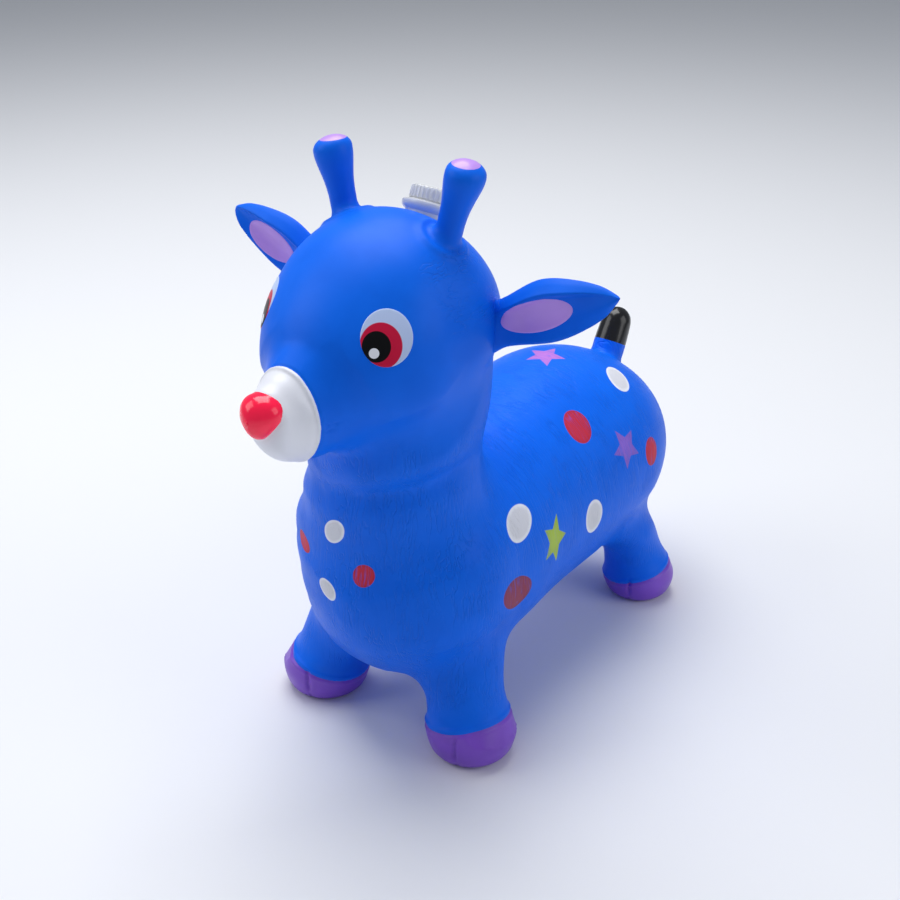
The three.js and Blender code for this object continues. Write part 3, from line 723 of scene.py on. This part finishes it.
def strokes(cell, point):
    spread = vectors(hairTree, "DIVIDE", point, cell)
    grain = put(hairTree, "ShaderNodeTexNoise", {"Vector": spread, "Scale": 1.0, "Detail": 1.5}).outputs[0]
    lines = ramped(hairTree, sums(hairTree, "ABSOLUTE", sums(hairTree, "SUBTRACT", grain, 0.5)), 0.05, 0.0)
    patches = put(hairTree, "ShaderNodeTexNoise", {"Vector": given["Point"], "Scale": 45.0, "Detail": 0.0})
    return sums(hairTree, "MULTIPLY", lines, ramped(hairTree, patches.outputs[0], 0.36, 0.6, 0.25, 1.0))


def mixed(factor, under, over):
    return put(hairTree, "ShaderNodeMix", {0: factor, 2: under, 3: over}).outputs[0]


def overlap(*masks):
    whole = masks[0]
    for mask in masks[1:]:
        whole = sums(hairTree, "MULTIPLY", whole, mask)
    return whole


def zoned(value, key):
    return ramped(hairTree, value, *stroke[key])


swayed = put(hairTree, "ShaderNodeSeparateXYZ", {0: sway}).outputs
overBarrel = sums(hairTree, "SUBTRACT", swayed["Z"], stroke["barrelHeight"])
girth = sums(hairTree, "MULTIPLY", sums(hairTree, "ARCTAN2", swayed["X"], overBarrel), stroke["barrelRadius"])
wrapped = put(hairTree, "ShaderNodeCombineXYZ", {"X": girth, "Y": swayed["Y"]}).outputs[0]
onBack = overlap(zoned(place["Z"], "backUp"), zoned(place["Y"], "backAlong"))
onBody = mixed(onBack, strokes(stroke["upright"], sway), strokes(stroke["roundBarrel"], wrapped))
aside = sums(hairTree, "ABSOLUTE", place["X"])
behindHorn = overlap(zoned(place["Z"], "hornUp"), zoned(place["Z"], "hornDown"), zoned(aside, "hornAside"),
                     zoned(place["Y"], "hornAlong"), zoned(aside, "earAside"))
onHead = zoned(place["Z"], "headUp")
kept = mixed(onHead, 1.0, sums(hairTree, "MULTIPLY", behindHorn, stroke["behindHornShare"]))
kept = overlap(kept, zoned(place["Z"], "hoofUp"))
allOver = mixed(onHead, onBody, strokes(stroke["slanting"], sway))
hairTree.links.new(overlap(allOver, kept), result["Height"])

# Painted spots and stars, each laid on the skin with its own size and tilt
markSockets = [("Point", "Vector"), ("Centre", "Vector"), ("Along", "Vector"), ("Across", "Vector"),
               ("Depth", "Vector")]


def markCoordinates(tree, given):
    offset = vectors(tree, "SUBTRACT", given["Point"], given["Centre"])
    along, aside, deep = (vectors(tree, "DOT_PRODUCT", offset, given[key])
                          for key in ("Along", "Across", "Depth"))
    near = ramped(tree, sums(tree, "ABSOLUTE", deep), 1.0, 0.9)
    return along, aside, hypotenuse(tree, along, aside), near


spotTree, given, result = newGroup("spotMark", markSockets, [("Mask", "Float"), ("Middle", "Float")])
_, _, reach, near = markCoordinates(spotTree, given)
spotTree.links.new(sums(spotTree, "MULTIPLY", ramped(spotTree, reach, 1.03, 0.97), near), result["Mask"])
spotTree.links.new(ramped(spotTree, reach, 0.95, 0.70), result["Middle"])

starEdge = {"tipward": 0.42, "offTip": 0.908, "inside": 0.405, "outside": 0.435}
starTree, given, result = newGroup("starMark", markSockets, [("Mask", "Float"), ("Middle", "Float")])
along, aside, reach, near = markCoordinates(starTree, given)
turned = sums(starTree, "PINGPONG", sums(starTree, "ARCTAN2", aside, along), math.pi / 5)
tipward = sums(starTree, "MULTIPLY", reach, sums(starTree, "COSINE", turned))
offTip = sums(starTree, "MULTIPLY", reach, sums(starTree, "SINE", turned))
edge = sums(starTree, "ADD", sums(starTree, "MULTIPLY", tipward, starEdge["tipward"]),
            sums(starTree, "MULTIPLY", offTip, starEdge["offTip"]))
inStar = ramped(starTree, edge, starEdge["outside"], starEdge["inside"])
starTree.links.new(sums(starTree, "MULTIPLY", inStar, near), result["Mask"])
starTree.links.new(ramped(starTree, reach, 0.7, 0.1), result["Middle"])

marks = [
    # kind, paint, place, half length, half width, tilt
    ("spot", "white", (-11, -182, 222), 14.8, 9.2, 42),
    ("spot", "red", (-57, -167, 189), 12.4, 7, -57),
    ("spot", "white", (-18, -187, 165), 11.6, 8, -64),
    ("spot", "red", (18, -181, 189), 11, 9.3, 38),
    ("spot", "white", (90, -60, 205), 20, 13.8, 38),
    ("spot", "white", (103, 51, 163), 16.5, 13.6, -33),
    # painted shade: this red spot takes the darker red
    ("spot", "dullRed", (112, -81, 152), 23, 14.4, 77),
    ("spot", "red", (65, 74, 232), 17.3, 14.6, -21),
    ("spot", "white", (56, 167, 243), 17.5, 13, 4),
    ("spot", "red", (104, 156, 186), 14, 11.6, -19),
    ("star", "pink", (-7, 138, 259), 25, 20, 138),
    ("star", "violet", (96, 117, 204), 20.4, 20.4, 167),
    ("star", "green", (102, -18, 172), 23.2, 19.6, -1),
    # the far side
    ("spot", "white", (-92, -52, 203), 19, 14, -30),
    ("spot", "red", (-103, 60, 165), 17, 14, 25),
    ("spot", "white", (-110, -90, 150), 21, 14, -70),
    ("spot", "white", (-66, 70, 232), 17, 14, 20),
    ("spot", "red", (-58, 172, 242), 17, 13, -8),
    ("spot", "white", (-104, 158, 184), 14, 12, 15),
    ("star", "violet", (-102, -12, 174), 22, 20, 4),
    ("star", "green", (-96, 115, 205), 21, 20, -160),
    ("spot", "white", (38, 262, 170), 15, 12, 12),
    ("spot", "red", (-44, 258, 190), 14, 12, -20),
    ("star", "pink", (2, 267, 128), 18, 17, 5),
]
markLean = Vector((0, 0.5, 0.87))
markDepth = 26


def principled(name, **values):
    finish = bpy.data.materials.new(name)
    finish.use_nodes = True
    tree = finish.node_tree
    shade = tree.nodes["Principled BSDF"]
    for key, value in values.items():
        shade.inputs[key.replace("_", " ")].default_value = value
    return finish, tree, shade, put(tree, "ShaderNodeTexCoord").outputs["Object"]


def filmed(tree, shade, point, colour, deep, sheen):
    given = {"Point": point, "Colour": colour, "Deep": deep, "Sheen": sheen}
    film = put(tree, "ShaderNodeGroup", given, node_tree=filmTree)
    tree.links.new(film.outputs["Colour"], shade.inputs["Base Color"])
    tree.links.new(film.outputs["Roughness"], shade.inputs["Roughness"])
    return film.outputs


# Strength and depth of the relief in each kind of surface
fineGrain = (0.15, 0.0005)
eyeGrain = (0.1, 0.0005)
hairRelief = (0.6, 0.0007)


def bumped(tree, shade, height, strength, distance):
    bump = put(tree, "ShaderNodeBump", {"Height": height, "Strength": strength, "Distance": distance})
    tree.links.new(bump.outputs["Normal"], shade.inputs["Normal"])


def painted(name, colour, deep, sheen, **values):
    finish, tree, shade, point = principled(name, **values)
    film = filmed(tree, shade, point, colour, deep, sheen)
    bumped(tree, shade, film["Height"], *fineGrain)
    return finish


def dimmed(colour, share):
    return (colour[0] * share, colour[1] * share, colour[2] * share, 1)


markWear = -0.35
whiteMiddle = 0.82
colourMiddle = 1.12
skinBlue, tree, shade, point = principled("skinBlue", Specular_IOR_Level=0.12)
film = filmed(tree, shade, point, finishes["blue"], finishes["blueDeep"], 0.40)
colour = film["Colour"]
hair = put(tree, "ShaderNodeGroup", {"Point": point}, node_tree=hairTree)
worn = sums(tree, "MULTIPLY_ADD", hair.outputs["Height"], markWear, 1.0)
for kind, paint, spot, halfLong, halfWide, tilt in marks:
    centre, normal, _, _ = skinTree.find_nearest(Vector(spot) * mm)
    up = (markLean - normal * markLean.dot(normal)).normalized()
    side = up.cross(normal)
    turn = math.radians(tilt)
    alongMark = up * math.cos(turn) + side * math.sin(turn)
    acrossMark = side * math.cos(turn) - up * math.sin(turn)
    mark = put(tree, "ShaderNodeGroup", {
        "Point": point, "Centre": centre, "Along": alongMark / (halfLong * mm),
        "Across": acrossMark / (halfWide * mm), "Depth": normal / (markDepth * mm),
    }, node_tree=spotTree if kind == "spot" else starTree).outputs
    inner = dimmed(finishes[paint], whiteMiddle if paint == "white" else colourMiddle)
    tint = blended(tree, mark["Middle"], finishes[paint], inner)
    mask = mark["Mask"] if paint == "white" else sums(tree, "MULTIPLY", mark["Mask"], worn)
    colour = blended(tree, mask, colour, tint)
tree.links.new(colour, shade.inputs["Base Color"])
bumped(tree, shade, sums(tree, "SUBTRACT", film["Height"], hair.outputs["Height"]), *hairRelief)

muzzleWhite = painted("muzzleWhite", finishes["white"], dimmed(finishes["white"], 0.93), 0.36)
hoofPurple = painted("hoofPurple", finishes["purple"], dimmed(finishes["purple"], 0.85), 0.36)
lilacPaint = painted("lilacPaint", finishes["lilac"], dimmed(finishes["lilac"], 0.92), 0.30)
tailBlack = painted("tailBlack", finishes["black"], dimmed(finishes["black"], 1.6), 0.20)
# the nose's red paint has a painted glow, a faint emission that makes it brighter than the light on it
noseRed = painted("noseRed", finishes["noseRed"], dimmed(finishes["noseRed"], 0.88), 0.16,
                  Emission_Color=finishes["noseRed"], Emission_Strength=0.15)
print("finishes mixed")


def finishPiece(piece, finish, body, slotName, *nodes):
    for face in piece.data.polygons:
        face.use_smooth = True
    piece.data.materials.clear()
    piece.data.materials.append(finish)
    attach(piece, body)
    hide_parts(*nodes)


looks = {
    "body": (skinBlue, "skin_blue", ["torso", "neck", "tail"] + ["leg_" + corner for corner in legs]),
    "head": (skinBlue, "skin_blue", ["head", "horn_left", "horn_right"]),
    "muzzle": (muzzleWhite, "paint_white", ["muzzle"]),
    "tail_tip": (tailBlack, "paint_black", ["tail_tip"]),
}
for corner in legs:
    looks["hoof_" + corner] = (hoofPurple, "hoof_purple", ["hoof_" + corner])
for label in ("left", "right"):
    looks["horn_tip_" + label] = (lilacPaint, "paint_lilac", ["horn_tip_" + label])
for index, name in enumerate(names):
    part = skinShape.copy()
    layer = part.faces.layers.int["zone"]
    bmesh.ops.delete(part, geom=[f for f in part.faces if f[layer] != index], context="FACES")
    first, *others = name.split("_")
    label = first + "".join(word.capitalize() for word in others) + "Skin"
    mesh = meshOf(part, label)
    normals = [tuple(item.vector) for item in mesh.attributes["softNormal"].data]
    for extra in ("softNormal", "zone"):
        mesh.attributes.remove(mesh.attributes[extra])
    piece = makeObject(label, mesh)
    finish, slotName, nodes = looks[name]
    finishPiece(piece, finish, "hopper", slotName, *nodes)
    mesh.normals_split_custom_set_from_vertices(normals)
skinShape.free()
print("skin parted")

# Patches laid on the skin: eyes and ear linings
laying = {"castFrom": 30, "castLength": 80, "edge": 0.985, "edgeSink": 0.4}


def disc(shape, rings, sides):
    bmesh.ops.create_circle(shape, cap_ends=True, radius=1 / rings, segments=sides)
    edges = shape.edges[:]
    for ring in range(2, rings + 1):
        loop, edges = extruded(shape, edges)
        bmesh.ops.scale(shape, vec=(ring / (ring - 1),) * 3, verts=loop)


def laid(name, under, centre, facing, up, halfWide, halfHigh, lift, rings, sides):
    facing = Vector(facing).normalized()
    up = (Vector(up) - facing * facing.dot(Vector(up))).normalized()
    side = up.cross(facing)
    above = Vector(centre) + facing * laying["castFrom"]
    shape = bmesh.new()
    disc(shape, rings, sides)
    for v in shape.verts:
        start = (above + side * v.co.x * halfWide + up * v.co.y * halfHigh) * mm
        spot, normal, _, _ = under.ray_cast(start, -facing, laying["castLength"] * mm)
        inside = math.hypot(v.co.x, v.co.y) < laying["edge"]
        v.co = spot + normal * (lift if inside else -laying["edgeSink"]) * mm
    bmesh.ops.recalc_face_normals(shape, faces=shape.faces)
    if sum(f.normal.dot(facing) for f in shape.faces) < 0:
        bmesh.ops.reverse_faces(shape, faces=shape.faces)
    return pieceOf(shape, name), side, up


eye = {
    "place": {"left": (57, -192.35, 414), "right": (62.5, -185, 412)}, "facing": (0.8, -1, 0.35),
    "half": (19.6, 21.4), "lift": 0.4, "rings": 24, "sides": 64,
    # each painted oval's middle and half sizes
    "iris": (-4.3, -5.6, 15.6, 17), "pupil": (-7.6, -5.9, 10.6, 11.3), "glint": (-9.4, -10.5, 3.8, 3.8),
}
for label, sign in sidePairs:
    x, y, z = eye["place"][label]
    middle = Vector((sign * x, y, z))
    fx, fy, fz = eye["facing"]
    piece, side, up = laid("eye" + label.capitalize(), skinTree, middle, (sign * fx, fy, fz), upward,
                           *eye["half"], eye["lift"], eye["rings"], eye["sides"])
    finish, tree, shade, point = principled("eyePaint" + label.capitalize(), Specular_IOR_Level=0.1)
    film = filmed(tree, shade, point, finishes["eyeWhite"], dimmed(finishes["eyeWhite"], 0.94), 0.30)
    colour = film["Colour"]
    offset = vectors(tree, "SUBTRACT", point, middle * mm)
    u = vectors(tree, "DOT_PRODUCT", offset, side / mm)
    v = vectors(tree, "DOT_PRODUCT", offset, up / mm)
    for key, paint in (("iris", "crimson"), ("pupil", "black"), ("glint", "white")):
        middleU, middleV, wide, high = eye[key]
        du = sums(tree, "DIVIDE", sums(tree, "SUBTRACT", u, sign * middleU), wide)
        dv = sums(tree, "DIVIDE", sums(tree, "SUBTRACT", v, middleV), high)
        inOval = ramped(tree, hypotenuse(tree, du, dv), 1.02, 0.98)
        colour = blended(tree, inOval, colour, finishes[paint])
    tree.links.new(colour, shade.inputs["Base Color"])
    bumped(tree, shade, film["Height"], *eyeGrain)
    finishPiece(piece, finish, "hopper", "paint_white", "eye_" + label)


# Ears: folded leaves rooted in the head, with lilac linings in their cupped side
def earForm(sign):
    return {
        "origin": Vector((sign * 85, frontY + 31, 396)),
        "along": lean(67, (sign, 0, 0)), "up": lean(-23, (sign, 0, 0)),
        "stations": [
            (-14, 24, -22, 34, 0), (1, 19, -18, 21, 0), (14, 20, -18, 16.5, 0), (50.4, 27, -21, 13, 0),
            (85.1, 18.9, -14.7, 9.1, 0), (112, 5.4, -4.2, 5.85, 0),
        ],
        "rounds": (6, 14),
    }


earFold = {
    "line": 0.57, "ridge": 6.5, "soft": 0.13, "dish": 2.6, "dishMiddle": -0.28, "dishHalf": 0.64, "cup": 5,
    "rootClear": 4, "rootFade": 22, "tipFade": 40, "tipLeast": 0.15,
}


def foldEar(form, rings, sign):
    # the upper edge folds over the dished front, and the lower edge cups round
    last = form["stations"][-1][0]
    side = form["up"].cross(form["along"])
    for s, frameMatrix, loop in rings:
        ease = ringAt(form, s)[0]
        flat = frameMatrix.inverted()
        fade = max(0, min(1, (s - earFold["rootClear"]) / earFold["rootFade"]))
        fade *= max(earFold["tipLeast"], min(1, (last - s) / earFold["tipFade"]))
        for v in loop:
            place = flat @ v.co
            v.co -= side * (sign * earFold["cup"] * ease * min(place.y, 0) ** 2 * mm)
            front = max(0, min(1, -2 * sign * place.x))
            rise = place.y - earFold["line"]
            roof = 1 - rise / (1 - earFold["line"]) if rise > 0 else hump(rise, 0, earFold["soft"])
            hollow = (place.y - earFold["dishMiddle"]) / earFold["dishHalf"]
            dish = earFold["dish"] * max(0, 1 - hollow ** 2)
            v.co.y -= (earFold["ridge"] * roof - dish) * front * fade * mm


lining = {
    "start": {"left": 7, "right": 36}, "long": {"left": 66, "right": 56}, "drop": {"left": -1.5, "right": 3},
    "wide": 26, "lift": 0.35, "rings": 16, "sides": 56,
}
for label, sign in sidePairs:
    ear = earForm(sign)
    earShape = bmesh.new()
    foldEar(ear, loft(earShape, ear, 80, 72), sign)
    bmesh.ops.recalc_face_normals(earShape, faces=earShape.faces)
    earTree = BVHTree.FromBMesh(earShape)
    piece = pieceOf(earShape, "ear" + label.capitalize())
    finishPiece(piece, skinBlue, "hopper", "skin_blue", "ear_" + label)
    halfLong = lining["long"][label] / 2
    middle = ear["origin"] + ear["along"] * (lining["start"][label] + halfLong)
    middle -= ear["up"] * lining["drop"][label]
    piece, _, _ = laid("earLining" + label.capitalize(), earTree, middle, forward, ear["along"],
                       lining["wide"] / 2, halfLong, lining["lift"], lining["rings"], lining["sides"])
    finishPiece(piece, lilacPaint, "hopper", "paint_lilac", "ear_lining_" + label)
print("eyes and ears painted")

# The nose: a rounded ball, broad above and narrow below
nose = {"tip": 283.35, "height": 365, "tall": 35, "widths": ((34, 32), (14, 34), (0, 28)), "taper": 0.46,
        "upperShare": 0.35}
noseHalf = nose["tall"] / 2
noseForm = {
    "origin": Vector(), "along": forward, "up": upward,
    "stations": [(nose["tip"] - s, nose["height"] + noseHalf, nose["height"] - noseHalf, w, 0)
                 for s, w in nose["widths"]],
    "rounds": (6, 16),
}
noseShape = bmesh.new()
loft(noseShape, noseForm, 44, 56)
for v in noseShape.verts:
    share = (v.co.z / mm - nose["height"]) / noseHalf
    v.co.x *= 1 + nose["taper"] * share * (1 if share < 0 else nose["upperShare"])
bmesh.ops.recalc_face_normals(noseShape, faces=noseShape.faces)
finishPiece(pieceOf(noseShape, "noseBall"), noseRed, "hopper", "nose_red", "nose")
print("nose set")

# The module's clear housing and its ribbed screw cap, turned about the module's axis
clearPlastic, tree, shade, point = principled("clearPlastic", Transmission_Weight=0.32, IOR=1.46)
film = filmed(tree, shade, point, (0.97, 0.98, 0.98, 1), (0.94, 0.95, 0.96, 1), 0.16)
bumped(tree, shade, film["Height"], *fineGrain)
turning = {
    # radius and height of each corner
    "cap": [(0, 25.3), (14.2, 25.3), (15.9, 24.9), (16.9, 24.0), (17.2, 22.8), (17.2, 15.0), (17.0, 14.3),
            (15.8, 14.3), (15.8, 22.6), (15.0, 23.5), (0, 23.5)],
    "housing": [(0, -26), (14.4, -26), (15, -25.4), (15, -0.1), (18, -0.1), (18, 4.6), (19.4, 5.6),
                (21.2, 7.2), (21.9, 9.2), (22, 11), (21.7, 12), (20.9, 12.5), (14.6, 12.5), (14.6, 21.6),
                (14.3, 22), (13.2, 22), (13.2, -24.2), (0, -24.2)],
    "thread": ((14.4, -0.9), (15.3, -0.2), (15.3, 0.2), (14.4, 0.9)),
    "pitch": 3.0, "turns": 1.5, "threadStart": 15.6, "steps": 96, "sharpAngle": 38,
    "ribs": 30, "ribSteps": 6, "ribRaised": 3, "ribDepth": 0.55, "ribInside": 16.5,
    "ribHeights": (14.6, 24.2),
}
placed = Matrix.Translation(module["origin"] * mm) @ Matrix.Rotation(math.radians(-moduleLean), 4, "X")


def turnedShape(profile, steps):
    shape = bmesh.new()
    points = [shape.verts.new((r * mm, 0, z * mm)) for r, z in profile]
    edges = [shape.edges.new(pair) for pair in zip(points, points[1:])]
    bmesh.ops.spin(shape, geom=points + edges, cent=(0, 0, 0), axis=(0, 0, 1), angle=math.tau, steps=steps,
                   use_merge=True)
    bmesh.ops.remove_doubles(shape, verts=shape.verts, dist=1e-6)
    bmesh.ops.recalc_face_normals(shape, faces=shape.faces)
    return shape


capSteps = turning["ribs"] * turning["ribSteps"]
capShape = turnedShape(turning["cap"], capSteps)
ribLow, ribHigh = turning["ribHeights"]
for v in capShape.verts:
    reach = math.hypot(v.co.x, v.co.y) / mm
    if reach > turning["ribInside"] and ribLow < v.co.z / mm < ribHigh:
        step = round(math.atan2(v.co.y, v.co.x) / math.tau * capSteps) % turning["ribSteps"]
        if step < turning["ribRaised"]:
            widening = (reach + turning["ribDepth"]) / reach
            v.co.x *= widening
            v.co.y *= widening
capShape.transform(placed)
capPiece = pieceOf(capShape, "clearCap")
finishPiece(capPiece, clearPlastic, "cap", "clear_plastic", "module_cap")

housingShape = turnedShape(turning["housing"], turning["steps"])
threadStart = turning["threadStart"]
thread = [housingShape.verts.new((r * mm, 0, (threadStart + z) * mm)) for r, z in turning["thread"]]
threadEdges = [housingShape.edges.new((a, b)) for a, b in zip(thread, thread[1:] + thread[:1])]
housingShape.faces.new(thread)
climb = turning["pitch"] * turning["turns"] / turning["steps"] * mm
swept = bmesh.ops.spin(housingShape, geom=thread + threadEdges, cent=(0, 0, 0), axis=(0, 0, 1),
                       dvec=(0, 0, climb), angle=math.tau * turning["turns"],
                       steps=turning["steps"])["geom_last"]
bmesh.ops.contextual_create(housingShape, geom=[g for g in swept if isinstance(g, bmesh.types.BMEdge)])
bmesh.ops.recalc_face_normals(housingShape, faces=housingShape.faces)
housingShape.transform(placed)
housingPiece = pieceOf(housingShape, "clearHousing")
finishPiece(housingPiece, clearPlastic, "hopper", "clear_plastic", "module_housing")
for piece in (capPiece, housingPiece):
    for edge in piece.data.edges:
        edge.use_edge_sharp = False
    piece.data.set_sharp_from_angle(angle=math.radians(turning["sharpAngle"]))
print("module turned")

# Fittings inside keep their shapes and take moulded and metal finishes
fittings = {
    "cap_seal": painted("sealWhite", (0.70, 0.71, 0.72, 1), (0.62, 0.63, 0.65, 1), 0.5),
    "air_plug": painted("plugBlue", finishes["blue"], finishes["blueDeep"], 0.35),
    "circuit_board": painted("boardGreen", (0.010, 0.120, 0.045, 1), (0.006, 0.075, 0.030, 1), 0.4),
    "lamp_red": painted("lampRed", (0.70, 0.05, 0.04, 1), (0.55, 0.03, 0.03, 1), 0.15, Coat_Weight=0.5),
    "lamp_green": painted("lampGreen", (0.08, 0.55, 0.12, 1), (0.05, 0.42, 0.09, 1), 0.15, Coat_Weight=0.5),
    "lamp_blue": painted("lampBlue", (0.06, 0.18, 0.75, 1), (0.04, 0.13, 0.60, 1), 0.15, Coat_Weight=0.5),
}
holderBlack = painted("holderBlack", (0.02, 0.02, 0.022, 1), (0.035, 0.035, 0.04, 1), 0.45)
brightSteel = painted("brightSteel", (0.62, 0.62, 0.61, 1), (0.48, 0.48, 0.48, 1), 0.30, Metallic=1.0)
sounderBrass = painted("sounderBrass", (0.72, 0.53, 0.22, 1), (0.60, 0.42, 0.16, 1), 0.28, Metallic=1.0)
leadRed = painted("leadRed", (0.55, 0.02, 0.02, 1), (0.42, 0.015, 0.015, 1), 0.4)
fittings |= dict.fromkeys(("sound_chip", "battery_holder", "sounder_lead_black"), holderBlack)
steelNodes = ("board_screw_1", "board_screw_2", "button_cell_1", "button_cell_2", "button_cell_3",
              "contact_positive", "contact_negative", "shake_switch")
fittings |= dict.fromkeys(steelNodes, brightSteel)
fittings["sounder_disc"] = sounderBrass
fittings["sounder_lead_red"] = leadRed
for name, finish in fittings.items():
    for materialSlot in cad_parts[name].material_slots:
        materialSlot.material = finish
print("fittings finished")
